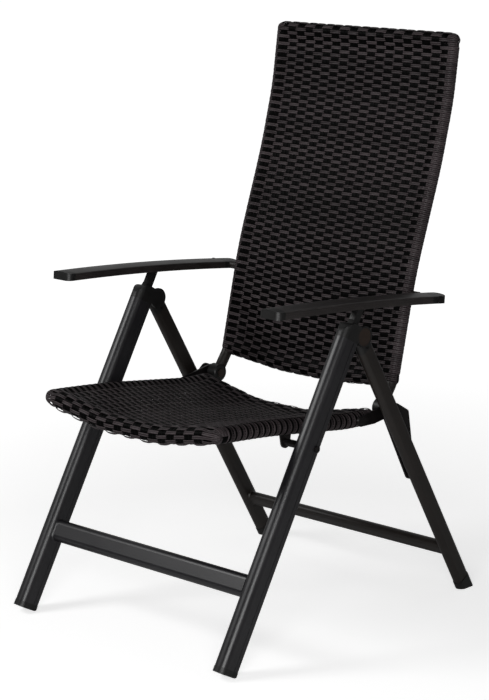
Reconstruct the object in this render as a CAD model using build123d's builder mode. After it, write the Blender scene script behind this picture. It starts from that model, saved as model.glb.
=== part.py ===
from build123d import *
from math import atan2, cos, degrees, radians, sin
import os

os.makedirs("parts", exist_ok=True)

# Overall layout, in millimetres: X across the chair, -Y its front, Z up, floor at Z = 0
leg_joint_y = 16.5        # pivot of the front and rear legs, fore and aft
leg_joint_z = 568.0
leg_spacing = 540.0       # between the middles of the left and right legs
front_lean = 30.4         # degrees from upright
rear_lean = 30.2
front_leg_offset = 33.0   # leg joint to the front leg's centre line
seat_pivot_down = 228.0   # leg joint to the seat pivot, along the front leg
seat_pivot_offset = 20.5  # leg joint to the seat pivot, square to the front leg
link_pivot_down = 347.3   # leg joint to the hinge plate's stud, along the rear leg
hub_back = 128.0          # leg joint to the backrest hub
hub_drop = 168.0
arm_pivot_back = 202.0    # leg joint to the armrest's rear pivot
arm_pivot_rise = 41.0
arm_pin_up = 50.0         # leg joint to the armrest's front pin, along the front leg
arm_pin_offset = 27.0

# Clearances shared by many pieces
pivot_fit = 0.1           # radial running clearance of every pivot
plug_fit = 0.2            # plastic plug to the inside of its tube
side_gap = 0.3            # between plates that turn past each other
overrun = 5.0             # how far a cutting shape runs past a face

# Front legs: aluminium section with a groove behind that takes the rear leg when folded
front_leg_width = 30.0
front_leg_depth = 42.0
front_leg_nose = 13.5     # radius of the rounded front corners
front_leg_heel = 2.0
front_leg_wall = 2.0
nest_width = 21.4
nest_depth = 8.5
trim_groove_width = 2.0
trim_groove_depth = 0.8
trim_groove_back = 9.0    # groove's middle behind the centre line
front_cap_seam = 20.0     # leg joint down to the tube's upper end
front_ferrule_height = 11.0
front_ferrule_edge = 0.6
front_foot_sink = 3.0     # part of the square-cut foot that is worn flat on the floor
front_plug_length = 24.0

# Rear legs: flat-oval tube
rear_leg_width = 20.0
rear_leg_depth = 36.0
rear_leg_wall = 1.8
rear_cap_seam = 32.0      # leg joint down to the tube's upper end
rear_foot_height = 26.0   # along the leg's centre line
rear_foot_edge = 1.0
rear_plug_length = 24.0
rear_rivet_down = 26.0
rear_rivet_radius = 3.0
rear_rivet_height = 1.2

# Cross bars, flat-oval, welded between the legs
front_bar_z = 149.0
front_bar_width = 22.0
front_bar_depth = 43.0
rear_bar_z = 92.0
rear_bar_width = 20.0
rear_bar_depth = 31.0
bar_wall = 1.8
weld_width = 2.5
weld_height = 2.0

# Leg joint fitting
cheek_radius = 20.0
cap_top_up = 13.0         # cap's top above the leg joint, along the front leg
cap_top_round = 26.0
joint_recess_radius = 17.0
joint_recess_depth = 1.5
joint_cap_gap = 0.3
joint_cap_thick = 1.2
leg_bolt_radius = 4.0
leg_bolt_head = 7.0
leg_bolt_head_height = 2.5
leg_bolt_skin = 1.5       # plastic left over the bolt's blind end
neck_width = 15.0
neck_thickness = 13.0
neck_base_width = 24.0
neck_base_up = 4.0        # leg joint to where the neck starts to flare, along the leg
neck_waist_up = 20.0
arm_pin_radius = 3.5
arm_pin_length = 37.0

# Seat: tube loop under a woven panel, with the same strands wound round the tube
seat_rail_in = 54.0       # leg's middle in to the rail's centre
seat_tube_radius = 13.0
seat_tube_wall = 1.5
seat_wrap = 3.0
seat_front_y = -318.0     # from the leg joint, as are the next ones
seat_front_z = 433.0
seat_bend_y = -184.0
seat_bend_z = 419.5
seat_dip_y = 26.0
seat_dip_z = 391.0
seat_rear_y = 88.0
seat_rear_z = 389.0
seat_bow_x = 75.0
seat_front_bow = 24.5
seat_rear_bow = 29.0
seat_panel_bow = 26.0
seat_corner = 22.0
seat_bow_radius = 330.0
seat_bend_radius = 2400.0
seat_dip_radius = 420.0
seat_panel_low = 8.0      # underside of the woven panel above the rail's centre
seat_panel_thick = 6.0

# Seat hardware
bracket_in = 64.0         # leg's middle in to the bracket's inner face
bracket_thick = 4.0
bracket_round = 11.5
bracket_foot = 34.0
sleeve_radius = 7.0
seat_bolt_radius = 4.0
seat_bolt_cap = 6.5
seat_bolt_cap_height = 3.0
seat_bolt_nut_height = 2.7
lug_in = 33.5             # leg's middle in to the lug's inner face
lug_thick = 4.0
lug_round = 14.0
lug_clearance = 1.0       # lug's hole to the hub bolt, which leaves it while folding
lug_boss_radius = 6.0
lug_boss_rear = 46.0      # hub forward to the lug's two bosses
lug_boss_front = 84.0
lug_end_round = 9.0
wrap_gap = 0.5            # strands to the metal that passes through them

# Backrest: tube with an S-shaped side, bowed bottom rail and woven cover
back_rail_in = 52.5       # leg's middle in to the tube's centre
back_tube_radius = 11.0
back_tube_wall = 1.5
back_wrap = 3.0
back_low_y = 160.0        # from the leg joint, as are the next ones
back_low_z = 444.0
back_waist_y = 210.0
back_waist_share = 0.3244 # of the rise from there to the top
back_chest_y = 280.0
back_chest_share = 0.6315
back_neck_y = 314.0
back_neck_share = 0.8252
back_top_y = 331.0
back_top_z = 1079.0
back_corner = 16.0
back_low_radius = 60.0
back_bend_radius = 1000.0
back_neck_radius = 500.0
back_bottom_z = 449.0
back_bottom_bow = 14.0
back_bow_x = 70.0
back_bow_radius = 400.0
back_panel_front = 8.0    # panel's front face ahead of the tube's centre
back_panel_thick = 6.0

# Hinge hub, hinge plate and their bolts
hub_in = 61.5             # leg's middle in to the drum's inner face
hub_radius = 17.5
hub_width = 23.0
hub_edge = 1.5
hub_bolt_radius = 4.0
hub_bolt_head = 8.5
hub_bolt_head_height = 2.2
hub_washer_radius = 9.5
spacer_radius = 7.0
plate_in = 20.0           # leg's middle in to the plate's inner face
plate_thick = 4.0
plate_top_round = 14.0
plate_corner = 8.0
plate_front = 23.0        # hub to the middle of the plate's front corner
plate_front_drop = 10.4
plate_rear = 32.0
plate_rear_drop = 12.0
plate_foot_round = 13.0
nut_radius = 7.0
nut_height = 4.0
stud_radius = 4.0
stud_shoulder = 8.0
stud_head = 8.0
stud_head_height = 2.0

# Armrests: aluminium channel with plastic end caps and a notched strip below
arm_out = 2.0             # leg's middle out to the armrest's middle
arm_width = 50.0
arm_side = 13.5           # height of the side walls
arm_crown = 3.5
arm_wall = 2.0
arm_edge = 3.0
arm_fall = 4.9            # degrees that the armrest falls to the rear
arm_arch = 5.0            # rise of the arched middle
arm_front = 450.0         # rear pivot to the front tip
arm_rear = 24.0           # rear pivot to the rear tip
arm_front_cap = 18.0
arm_rear_cap = 42.0
arm_top = 8.3             # both ends of the arched top above the rear pivot
arm_cap_round = 12.0
arm_cap_plug = 15.0
arm_bolt_radius = 4.0
arm_bolt_head = 7.5
arm_bolt_head_height = 2.5
arm_bolt_depth = 2.5      # tube's outer face to the bolt's end
arm_spacer_radius = 8.0
arm_spacer_gap = 0.3
arm_groove_width = 1.6
arm_groove_depth = 0.6
arm_groove_high = 6.5     # crown down to the two grooves on each side
arm_groove_low = 11.0
rack_first = 200.6        # rear pivot to the first notch
rack_pitch = 22.6
rack_count = 7
rack_end = 20.0           # last notches to the strip's ends
rack_width = 32.0
rack_base = 1.2
rack_flange = 2.0
rack_depth = 8.6          # crown down to the tips between the notches
rack_gap = 0.2
notch_radius = 3.7

hub_y = leg_joint_y + hub_back
hub_z = leg_joint_z - hub_drop
arm_pivot_y = leg_joint_y + arm_pivot_back
arm_pivot_z = leg_joint_z + arm_pivot_rise
leg_x = leg_spacing / 2
seat_rail_x = leg_x - seat_rail_in
bracket_x = leg_x - bracket_in
lug_x = leg_x - lug_in
back_rail_x = leg_x - back_rail_in
hub_x = leg_x - hub_in
plate_x = leg_x - plate_in
arm_x = leg_x + arm_out
front_leg_inner = leg_x - front_leg_width / 2
front_leg_outer = leg_x + front_leg_width / 2
rear_leg_inner = leg_x - rear_leg_width / 2
rear_leg_outer = leg_x + rear_leg_width / 2


def front_point(up, back):
    """Y and Z of a place given along the front leg and square to it, from the leg joint."""
    lean = radians(front_lean)
    y = leg_joint_y + up * sin(lean) + back * cos(lean)
    z = leg_joint_z + up * cos(lean) - back * sin(lean)
    return y, z


def rear_point(up, back):
    """Y and Z of a place given along the rear leg and square to it, from the leg joint."""
    lean = radians(rear_lean)
    y = leg_joint_y - up * sin(lean) + back * cos(lean)
    z = leg_joint_z + up * cos(lean) + back * sin(lean)
    return y, z


def front_section(x, up):
    """Section plane of a front leg, its second axis pointing to the rear of the leg."""
    y, z = front_point(up, -front_leg_offset)
    lean = radians(front_lean)
    return Plane(origin=(x, y, z), x_dir=(1, 0, 0), z_dir=(0, sin(lean), cos(lean)))


def rear_section(x, up):
    """Section plane of a rear leg, its second axis pointing to the rear of the leg."""
    y, z = rear_point(up, 0)
    lean = radians(rear_lean)
    return Plane(origin=(x, y, z), x_dir=(1, 0, 0), z_dir=(0, -sin(lean), cos(lean)))


def across(x, y, z, turn=0):
    """Plane facing +X, its first axis along Y and its second along Z before the turn."""
    angle = radians(turn)
    return Plane(origin=(x, y, z), x_dir=(0, cos(angle), sin(angle)), z_dir=(1, 0, 0))


def disc(x, y, z, radius, length, mode=Mode.ADD):
    """Round bar along X that starts at x."""
    with BuildSketch(across(x, y, z)) as face:
        Circle(radius)
    extrude(face.sketch, amount=length, mode=mode)


def save(part, name):
    """Labels a finished piece and writes it."""
    part.label = name
    export_step(part, f"parts/{name}.step")


def save_pair(part, name):
    """Writes a right-hand piece and its mirror image on the left."""
    save(part, f"{name}_right")
    with BuildPart() as twin:
        mirror(part, about=Plane.YZ)
    save(twin.part, f"{name}_left")


# Front legs
front_leg_hollow = front_leg_depth - nest_depth - 2 * front_leg_wall
front_leg_hollow_width = front_leg_width - 2 * (front_leg_wall + trim_groove_depth)
front_leg_hollow_back = front_leg_wall + front_leg_hollow / 2 - front_leg_depth / 2
front_leg_hollow_round = front_leg_nose - 2 * front_leg_wall


def leg_outline(grow=0):
    """Front leg's outline in the current sketch: rounded nose, flat sides, square back."""
    with BuildSketch(mode=Mode.PRIVATE) as outline:
        Rectangle(front_leg_width + 2 * grow, front_leg_depth + 2 * grow)
        fillet(outline.vertices().group_by(Axis.Y)[0], front_leg_nose + grow)
        fillet(outline.vertices().group_by(Axis.Y)[-1], front_leg_heel + grow)
    add(outline.sketch)


def leg_grooves():
    """Cuts the rear groove and the two narrow side grooves from the current sketch."""
    with Locations((0, front_leg_depth / 2)):
        Rectangle(nest_width, 2 * nest_depth, mode=Mode.SUBTRACT)
    with Locations((0, trim_groove_back)):
        with GridLocations(front_leg_width, 0, 2, 1):
            Rectangle(2 * trim_groove_depth, trim_groove_width, mode=Mode.SUBTRACT)


def leg_hollow(shrink=0, mode=Mode.ADD):
    """Hollow of the front leg in the current sketch, or a plug that fits it."""
    with Locations((0, front_leg_hollow_back)):
        RectangleRounded(
            front_leg_hollow_width - 2 * shrink,
            front_leg_hollow - 2 * shrink,
            front_leg_hollow_round - shrink,
            mode=mode,
        )


def floor_cut():
    """Cuts away whatever reaches below the floor."""
    split(bisect_by=Plane.XY, keep=Keep.TOP)


foot_low_back = front_leg_depth / 2 + front_ferrule_edge - front_leg_offset
foot_edge_rise = foot_low_back * sin(radians(front_lean))
front_leg_length = (leg_joint_z - foot_edge_rise + front_foot_sink) / cos(radians(front_lean))
front_tube_end = front_leg_length - front_ferrule_height
seat_pivot_y, seat_pivot_z = front_point(-seat_pivot_down, -seat_pivot_offset)

with BuildPart() as front_leg:
    with BuildSketch(front_section(leg_x, -front_tube_end)):
        leg_outline()
        leg_grooves()
        leg_hollow(mode=Mode.SUBTRACT)
    extrude(amount=front_tube_end - front_cap_seam)
    disc(
        front_leg_inner - overrun, seat_pivot_y, seat_pivot_z, seat_bolt_radius,
        front_leg_width + 2 * overrun, mode=Mode.SUBTRACT,
    )
save_pair(front_leg.part, "front_leg")

with BuildPart() as front_foot:
    with BuildSketch(front_section(leg_x, -front_leg_length)):
        leg_outline(front_ferrule_edge)
    extrude(amount=front_ferrule_height)
    with BuildSketch(front_section(leg_x, -front_tube_end)):
        leg_hollow(plug_fit)
    extrude(amount=front_plug_length)
    floor_cut()
save_pair(front_foot.part, "front_foot")

# Rear legs
rear_foot_drop = leg_joint_z / cos(radians(rear_lean))
rear_tube_end = rear_foot_drop - rear_foot_height
link_pivot_y, link_pivot_z = rear_point(-link_pivot_down, 0)


def oval(grow=0, mode=Mode.ADD):
    """Rear leg's flat-oval outline in the current sketch, grown or shrunk all round."""
    SlotOverall(
        rear_leg_depth + 2 * grow, rear_leg_width + 2 * grow, rotation=90, mode=mode
    )


with BuildPart() as rear_leg:
    with BuildSketch(rear_section(leg_x, -rear_tube_end)):
        oval()
        oval(-rear_leg_wall, mode=Mode.SUBTRACT)
    extrude(amount=rear_tube_end - rear_cap_seam)
    disc(
        rear_leg_inner - overrun, link_pivot_y, link_pivot_z, stud_radius,
        rear_leg_width / 2 + overrun, mode=Mode.SUBTRACT,
    )
save_pair(rear_leg.part, "rear_leg")

with BuildPart() as rear_foot:
    with BuildSketch(rear_section(leg_x, -rear_foot_drop - rear_foot_height)):
        oval(rear_foot_edge)
    extrude(amount=2 * rear_foot_height)
    with BuildSketch(rear_section(leg_x, -rear_tube_end)):
        oval(-rear_leg_wall - plug_fit)
    extrude(amount=rear_plug_length)
    floor_cut()
save_pair(rear_foot.part, "rear_foot")


def crossbar(plane, half_length, width, depth):
    """Flat-oval bar across the chair, with a sloping weld bead at both ends."""
    with BuildSketch(plane) as bar:
        SlotOverall(depth, width)
    extrude(bar.sketch, amount=half_length)
    with BuildSketch(plane.offset(half_length)) as bead:
        SlotOverall(depth + 2 * weld_height, width + 2 * weld_height)
    slope = degrees(atan2(weld_height, weld_width))
    extrude(bead.sketch, amount=-weld_width, taper=slope)
    with BuildSketch(plane) as bore:
        SlotOverall(depth - 2 * bar_wall, width - 2 * bar_wall)
    extrude(bore.sketch, amount=half_length, mode=Mode.SUBTRACT)
    mirror(about=Plane.YZ)


front_bar_drop = leg_joint_z + front_leg_offset * sin(radians(front_lean)) - front_bar_z
front_bar_down = front_bar_drop / cos(radians(front_lean))
front_bar_y, _ = front_point(-front_bar_down, -front_leg_offset)
rear_bar_down = (leg_joint_z - rear_bar_z) / cos(radians(rear_lean))
rear_bar_y, _ = rear_point(-rear_bar_down, 0)

with BuildPart() as front_crossbar:
    crossbar(
        across(0, front_bar_y, front_bar_z, turn=90 - front_lean),
        front_leg_inner, front_bar_width, front_bar_depth,
    )
save(front_crossbar.part, "front_crossbar")

with BuildPart() as rear_crossbar:
    crossbar(
        across(0, rear_bar_y, rear_bar_z, turn=90 + rear_lean),
        rear_leg_inner, rear_bar_width, rear_bar_depth,
    )
save(rear_crossbar.part, "rear_crossbar")

# Leg joint: plastic cap of the front leg, with two cheeks and the neck of the armrest pin
nest_floor = front_leg_offset - front_leg_depth / 2 + nest_depth
cap_height = front_cap_seam + cap_top_up
arm_pin_y, arm_pin_z = front_point(arm_pin_up, -arm_pin_offset)
fork_width = rear_leg_width + 2 * side_gap


def beside_leg(x):
    """Plane facing +X, its axes running to the rear of the front leg and up along it."""
    return across(x, leg_joint_y, leg_joint_z, turn=-front_lean)


with BuildPart() as leg_joint:
    with BuildSketch(front_section(leg_x, -front_cap_seam)):
        leg_outline()
    extrude(amount=cap_height)
    with BuildSketch(beside_leg(front_leg_inner)) as cap_side:
        with Locations((-front_leg_offset, cap_top_up - cap_height / 2)):
            Rectangle(front_leg_depth, cap_height)
        fillet(cap_side.vertices().group_by(Axis.Y)[-1].sort_by(Axis.X)[0], cap_top_round)
    extrude(amount=front_leg_width, mode=Mode.INTERSECT)
    disc(front_leg_inner, leg_joint_y, leg_joint_z, cheek_radius, front_leg_width)
    with BuildSketch(beside_leg(leg_x - fork_width / 2)):
        with Locations((-nest_floor, 0)):
            Rectangle(
                2 * (cheek_radius + overrun), 2 * (cheek_radius + overrun),
                align=(Align.MIN, Align.CENTER),
            )
    extrude(amount=fork_width, mode=Mode.SUBTRACT)
    with BuildSketch(beside_leg(leg_x - neck_thickness / 2)):
        with BuildLine():
            Polyline(
                (-arm_pin_offset - neck_base_width / 2, neck_base_up),
                (-arm_pin_offset - neck_width / 2, neck_waist_up),
                (-arm_pin_offset - neck_width / 2, arm_pin_up),
                (-arm_pin_offset + neck_width / 2, arm_pin_up),
                (-arm_pin_offset + neck_width / 2, neck_waist_up),
                (-nest_floor, neck_base_up),
                close=True,
            )
        make_face()
        with Locations((-arm_pin_offset, arm_pin_up)):
            Circle(neck_width / 2)
            Circle(arm_pin_radius, mode=Mode.SUBTRACT)
    extrude(amount=neck_thickness)
    disc(
        front_leg_inner + leg_bolt_skin, leg_joint_y, leg_joint_z, leg_bolt_radius,
        front_leg_width, mode=Mode.SUBTRACT,
    )
    disc(
        front_leg_outer - joint_recess_depth - leg_bolt_head_height, leg_joint_y,
        leg_joint_z, leg_bolt_head, leg_bolt_head_height, mode=Mode.SUBTRACT,
    )
    disc(
        front_leg_outer - joint_recess_depth, leg_joint_y, leg_joint_z,
        joint_recess_radius, joint_recess_depth, mode=Mode.SUBTRACT,
    )
    with BuildSketch(front_section(leg_x, -front_cap_seam)):
        leg_hollow(plug_fit)
    extrude(amount=-front_plug_length)
save_pair(leg_joint.part, "leg_joint")

with BuildPart() as leg_pivot_bolts:
    bolt_end = front_leg_inner + leg_bolt_skin
    head_face = front_leg_outer - joint_recess_depth - leg_bolt_head_height
    disc(bolt_end, leg_joint_y, leg_joint_z, leg_bolt_radius, head_face - bolt_end)
    disc(head_face, leg_joint_y, leg_joint_z, leg_bolt_head, leg_bolt_head_height)
    mirror(about=Plane.YZ)
save(leg_pivot_bolts.part, "leg_pivot_bolts")

with BuildPart() as leg_pivot_caps:
    disc(
        front_leg_outer - joint_recess_depth, leg_joint_y, leg_joint_z,
        joint_recess_radius - joint_cap_gap, joint_cap_thick,
    )
    mirror(about=Plane.YZ)
save(leg_pivot_caps.part, "leg_pivot_caps")

with BuildPart() as armrest_pins:
    disc(leg_x - arm_pin_length / 2, arm_pin_y, arm_pin_z, arm_pin_radius, arm_pin_length)
    mirror(about=Plane.YZ)
save(armrest_pins.part, "armrest_pins")

# Rear legs' upper sleeves, rivets and the studs of the hinge plates
with BuildPart() as rear_joint:
    with BuildSketch(rear_section(leg_x, -rear_cap_seam)):
        oval()
    extrude(amount=rear_cap_seam + rear_leg_depth / 2)
    with BuildSketch(across(rear_leg_inner, leg_joint_y, leg_joint_z, turn=rear_lean)):
        Circle(rear_leg_depth / 2)
        with Locations((0, -rear_cap_seam / 2)):
            Rectangle(rear_leg_depth, rear_cap_seam)
    extrude(amount=rear_leg_width, mode=Mode.INTERSECT)
    with BuildSketch(rear_section(leg_x, -rear_cap_seam)):
        oval(-rear_leg_wall - plug_fit)
    extrude(amount=-rear_plug_length)
    disc(
        rear_leg_inner - overrun, leg_joint_y, leg_joint_z, leg_bolt_radius + pivot_fit,
        rear_leg_width + 2 * overrun, mode=Mode.SUBTRACT,
    )
save_pair(rear_joint.part, "rear_joint")

with BuildPart() as rear_leg_rivets:
    rivet_y, rivet_z = rear_point(-rear_rivet_down, 0)
    for face, height in ((rear_leg_outer, rear_rivet_height), (rear_leg_inner, -rear_rivet_height)):
        disc(face, rivet_y, rivet_z, rear_rivet_radius, height)
    mirror(about=Plane.YZ)
save(rear_leg_rivets.part, "rear_leg_rivets")

with BuildPart() as hinge_studs:
    plate_outer = plate_x + plate_thick + side_gap
    disc(
        plate_x - side_gap - stud_head_height, link_pivot_y, link_pivot_z, stud_head,
        stud_head_height,
    )
    disc(plate_x - side_gap, link_pivot_y, link_pivot_z, stud_radius, leg_x - plate_x + side_gap)
    disc(plate_outer, link_pivot_y, link_pivot_z, stud_shoulder, rear_leg_inner - plate_outer)
    mirror(about=Plane.YZ)
save(hinge_studs.part, "hinge_studs")

# Hinge plates from the rear legs up to the backrest's hubs
with BuildPart() as hinge_plate:
    with BuildSketch(across(plate_x, hub_y, hub_z)) as plate_side:
        Circle(plate_top_round)
        with Locations((-plate_front, -plate_front_drop), (plate_rear, -plate_rear_drop)):
            Circle(plate_corner)
        with Locations((link_pivot_y - hub_y, link_pivot_z - hub_z)):
            Circle(plate_foot_round)
        make_hull()
        Circle(hub_bolt_radius + pivot_fit, mode=Mode.SUBTRACT)
        with Locations((link_pivot_y - hub_y, link_pivot_z - hub_z)):
            Circle(stud_radius + pivot_fit, mode=Mode.SUBTRACT)
    extrude(amount=plate_thick)
save_pair(hinge_plate.part, "hinge_plate")

# Bolts of the hubs, with their washers, spacers and nuts
hub_outer = hub_x + hub_width
nut_x = plate_x + plate_thick + side_gap

with BuildPart() as hub_bolts:
    disc(hub_x - side_gap, hub_y, hub_z, hub_bolt_radius, nut_x + nut_height - hub_x + side_gap)
    disc(hub_x - side_gap, hub_y, hub_z, hub_bolt_head, -hub_bolt_head_height)
    mirror(about=Plane.YZ)
save(hub_bolts.part, "hub_bolts")

with BuildPart() as hub_washers:
    washer_x = hub_outer + side_gap
    disc(washer_x, hub_y, hub_z, hub_washer_radius, lug_x - side_gap - washer_x)
    disc(washer_x, hub_y, hub_z, hub_bolt_radius, lug_x - washer_x, mode=Mode.SUBTRACT)
    mirror(about=Plane.YZ)
save(hub_washers.part, "hub_washers")

with BuildPart() as hub_spacers:
    spacer_x = lug_x + lug_thick + side_gap
    disc(spacer_x, hub_y, hub_z, spacer_radius, plate_x - side_gap - spacer_x)
    disc(spacer_x, hub_y, hub_z, hub_bolt_radius, plate_x - spacer_x, mode=Mode.SUBTRACT)
    mirror(about=Plane.YZ)
save(hub_spacers.part, "hub_spacers")

with BuildPart() as hub_nuts:
    with BuildSketch(across(nut_x, hub_y, hub_z)):
        RegularPolygon(nut_radius, 6)
        Circle(hub_bolt_radius, mode=Mode.SUBTRACT)
    extrude(amount=nut_height)
    mirror(about=Plane.YZ)
save(hub_nuts.part, "hub_nuts")

# Seat: half-loops of tube from the middle of the front rail to the middle of the rear rail
seat_sides = [
    (seat_front_y, seat_front_z),
    (seat_bend_y, seat_bend_z),
    (seat_dip_y, seat_dip_z),
    (seat_rear_y, seat_rear_z),
]


def seat_loop():
    """Right half of the seat rail's centre line."""
    front_y = leg_joint_y + seat_front_y
    rear_y = leg_joint_y + seat_rear_y
    front_low = seat_front_z - seat_front_bow
    rear_low = seat_rear_z - seat_rear_bow
    side = [(seat_rail_x, leg_joint_y + y, z) for y, z in seat_sides]
    front = [(0, front_y, front_low), (seat_bow_x, front_y, front_low)]
    rear = [(seat_bow_x, rear_y, rear_low), (0, rear_y, rear_low)]
    bends = [seat_bow_radius, seat_corner, seat_bend_radius, seat_dip_radius]
    return FilletPolyline(*front, *side, *rear, radius=[*bends, seat_corner, seat_bow_radius])


def follow(path, outer, inner=0, mode=Mode.ADD):
    """Round bar or tube along a path."""
    with BuildSketch(Plane(origin=path @ 0, z_dir=path % 0)) as section:
        Circle(outer)
        if inner > 0:
            Circle(inner, mode=Mode.SUBTRACT)
    sweep(section.sketch, path=path, mode=mode)


def side_height(profile, y):
    """Height of a side profile, given from the leg joint, at a place between its points."""
    place = y - leg_joint_y
    for (y0, z0), (y1, z1) in zip(profile, profile[1:]):
        if y0 <= place <= y1:
            return z0 + (z1 - z0) * (place - y0) / (y1 - y0)
    return profile[-1][1]


with BuildPart() as seat_frame:
    with BuildLine():
        rail = seat_loop()
    follow(rail, seat_tube_radius, seat_tube_radius - seat_tube_wall)
    mirror(about=Plane.YZ)
save(seat_frame.part, "seat_frame")

# Lugs that carry the seat's rear on the hub bolts, each on two bosses welded to the tube
lug_bosses = [
    (hub_y - back, side_height(seat_sides, hub_y - back))
    for back in (lug_boss_rear, lug_boss_front)
]

with BuildPart() as seat_lug:
    with BuildLine():
        rail = seat_loop()
    for y, z in lug_bosses:
        disc(seat_rail_x, y, z, lug_boss_radius, lug_x - seat_rail_x)
    follow(rail, seat_tube_radius, mode=Mode.SUBTRACT)
    with BuildSketch(across(lug_x, hub_y, hub_z)):
        Circle(lug_round)
        for y, z in lug_bosses:
            with Locations((y - hub_y, z - hub_z)):
                Circle(lug_end_round)
        make_hull()
        Circle(hub_bolt_radius + lug_clearance, mode=Mode.SUBTRACT)
    extrude(amount=lug_thick)
save_pair(seat_lug.part, "seat_lug")

# Brackets that hang from the seat rails and turn on bolts through the front legs
bracket_rail_z = side_height(seat_sides, seat_pivot_y)
sleeve_end = front_leg_inner - side_gap


def bracket_side(grow=0):
    """Outline of the bracket's plate in the current sketch, centred on its bolt."""
    Circle(bracket_round + grow)
    with Locations((0, bracket_rail_z - seat_pivot_z)):
        Rectangle(bracket_foot + 2 * grow, grow + bracket_thick / 2)
    make_hull()


with BuildPart() as seat_bracket:
    with BuildLine():
        rail = seat_loop()
    with BuildSketch(across(bracket_x, seat_pivot_y, seat_pivot_z)):
        bracket_side()
    extrude(amount=bracket_thick)
    follow(rail, seat_tube_radius, mode=Mode.SUBTRACT)
    disc(bracket_x, seat_pivot_y, seat_pivot_z, sleeve_radius, sleeve_end - bracket_x)
    disc(
        bracket_x - overrun, seat_pivot_y, seat_pivot_z, seat_bolt_radius + pivot_fit,
        sleeve_end - bracket_x + 2 * overrun, mode=Mode.SUBTRACT,
    )
save_pair(seat_bracket.part, "seat_bracket")

with BuildPart() as seat_pivot_bolts:
    seat_nut_x = bracket_x - side_gap
    disc(seat_nut_x, seat_pivot_y, seat_pivot_z, seat_bolt_radius, front_leg_outer - seat_nut_x)
    disc(front_leg_outer, seat_pivot_y, seat_pivot_z, seat_bolt_cap, seat_bolt_cap_height)
    disc(seat_nut_x, seat_pivot_y, seat_pivot_z, seat_bolt_cap, -seat_bolt_nut_height)
    mirror(about=Plane.YZ)
save(seat_pivot_bolts.part, "seat_pivot_bolts")


def bowed_band(width, flat, bow, low, thick):
    """Face of a band whose middle hangs below its two edges, in the current sketch."""
    with BuildLine() as edge:
        lower = FilletPolyline(
            (-width / 2, low), (-flat, low - bow), (flat, low - bow), (width / 2, low),
            radius=seat_bow_radius,
        )
        upper = FilletPolyline(
            (-width / 2, low + thick), (-flat, low + thick - bow),
            (flat, low + thick - bow), (width / 2, low + thick),
            radius=seat_bow_radius,
        )
        Line(lower @ 0, upper @ 0)
        Line(lower @ 1, upper @ 1)
    make_face(edge.edges())


with BuildPart() as seat_tube_space:
    with BuildLine():
        rail = seat_loop()
    follow(rail, seat_tube_radius)
    mirror(about=Plane.YZ)

with BuildPart() as seat_cuts:
    with BuildSketch(across(bracket_x - wrap_gap, seat_pivot_y, seat_pivot_z)):
        bracket_side(wrap_gap)
    extrude(amount=bracket_thick + 2 * wrap_gap)
    for y, z in lug_bosses:
        disc(seat_rail_x, y, z, lug_boss_radius + wrap_gap, lug_x - seat_rail_x)
    mirror(about=Plane.YZ)

with BuildPart() as seat_weave:
    with BuildLine():
        rail = seat_loop()
        middle = FilletPolyline(
            *[(0, leg_joint_y + y, z) for y, z in seat_sides],
            radius=[seat_bend_radius, seat_dip_radius],
        )
    follow(rail, seat_tube_radius + seat_wrap)
    mirror(about=Plane.YZ)
    with BuildSketch(Plane(origin=middle @ 0, x_dir=(-1, 0, 0), z_dir=middle % 0)):
        bowed_band(
            2 * seat_rail_x, seat_bow_x, seat_panel_bow, seat_panel_low, seat_panel_thick
        )
    sweep(path=middle)
    add(seat_tube_space.part, mode=Mode.SUBTRACT)
    add(seat_cuts.part, mode=Mode.SUBTRACT)
save(seat_weave.part, "seat_weave")

# Backrest: half-loop of tube from the hub up the side to the middle of the top
back_rise = back_top_z - back_low_z
back_waist_z = back_low_z + back_waist_share * back_rise
back_sides = [
    (hub_back, hub_z),
    (back_low_y, back_low_z),
    (back_waist_y, back_waist_z),
    (back_chest_y, back_low_z + back_chest_share * back_rise),
    (back_neck_y, back_low_z + back_neck_share * back_rise),
    (back_top_y, back_top_z),
]
back_bends = [back_low_radius, back_bend_radius, back_bend_radius, back_neck_radius]


def back_loop(first=0):
    """Right half of the backrest's centre line, from one of its side points upwards."""
    side = [(back_rail_x, leg_joint_y + y, z) for y, z in back_sides[first:]]
    top = (0, leg_joint_y + back_top_y, back_top_z)
    return FilletPolyline(*side, top, radius=[*back_bends[first:], back_corner])


def bottom_rail():
    """Right half of the backrest's bowed lower rail."""
    share = (back_bottom_z - back_low_z) / (back_waist_z - back_low_z)
    y = leg_joint_y + back_low_y + share * (back_waist_y - back_low_y)
    low = back_bottom_z - back_bottom_bow
    return FilletPolyline(
        (0, y, low), (back_bow_x, y, low), (back_rail_x, y, back_bottom_z),
        radius=back_bow_radius,
    )


with BuildPart() as back_frame:
    with BuildLine():
        low_rail = bottom_rail()
    follow(low_rail, back_tube_radius, back_tube_radius - back_tube_wall)
    with BuildLine():
        side_rail = back_loop()
    follow(side_rail, back_tube_radius, mode=Mode.SUBTRACT)
    follow(side_rail, back_tube_radius, back_tube_radius - back_tube_wall)
    disc(back_rail_x - hub_width, hub_y, hub_z, hub_radius, 2 * hub_width, mode=Mode.SUBTRACT)
    disc(
        back_rail_x + back_tube_radius - back_tube_wall - overrun, arm_pivot_y, arm_pivot_z,
        arm_bolt_radius + pivot_fit, overrun, mode=Mode.SUBTRACT,
    )
    mirror(about=Plane.YZ)
save(back_frame.part, "back_frame")

with BuildPart() as back_hub:
    with BuildSketch(across(hub_x, hub_y, hub_z)):
        Circle(hub_radius)
    extrude(amount=hub_width)
    chamfer(back_hub.edges().filter_by(GeomType.CIRCLE), hub_edge)
    disc(
        hub_x - overrun, hub_y, hub_z, hub_bolt_radius + pivot_fit, hub_width + 2 * overrun,
        mode=Mode.SUBTRACT,
    )
save_pair(back_hub.part, "back_hub")

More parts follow.
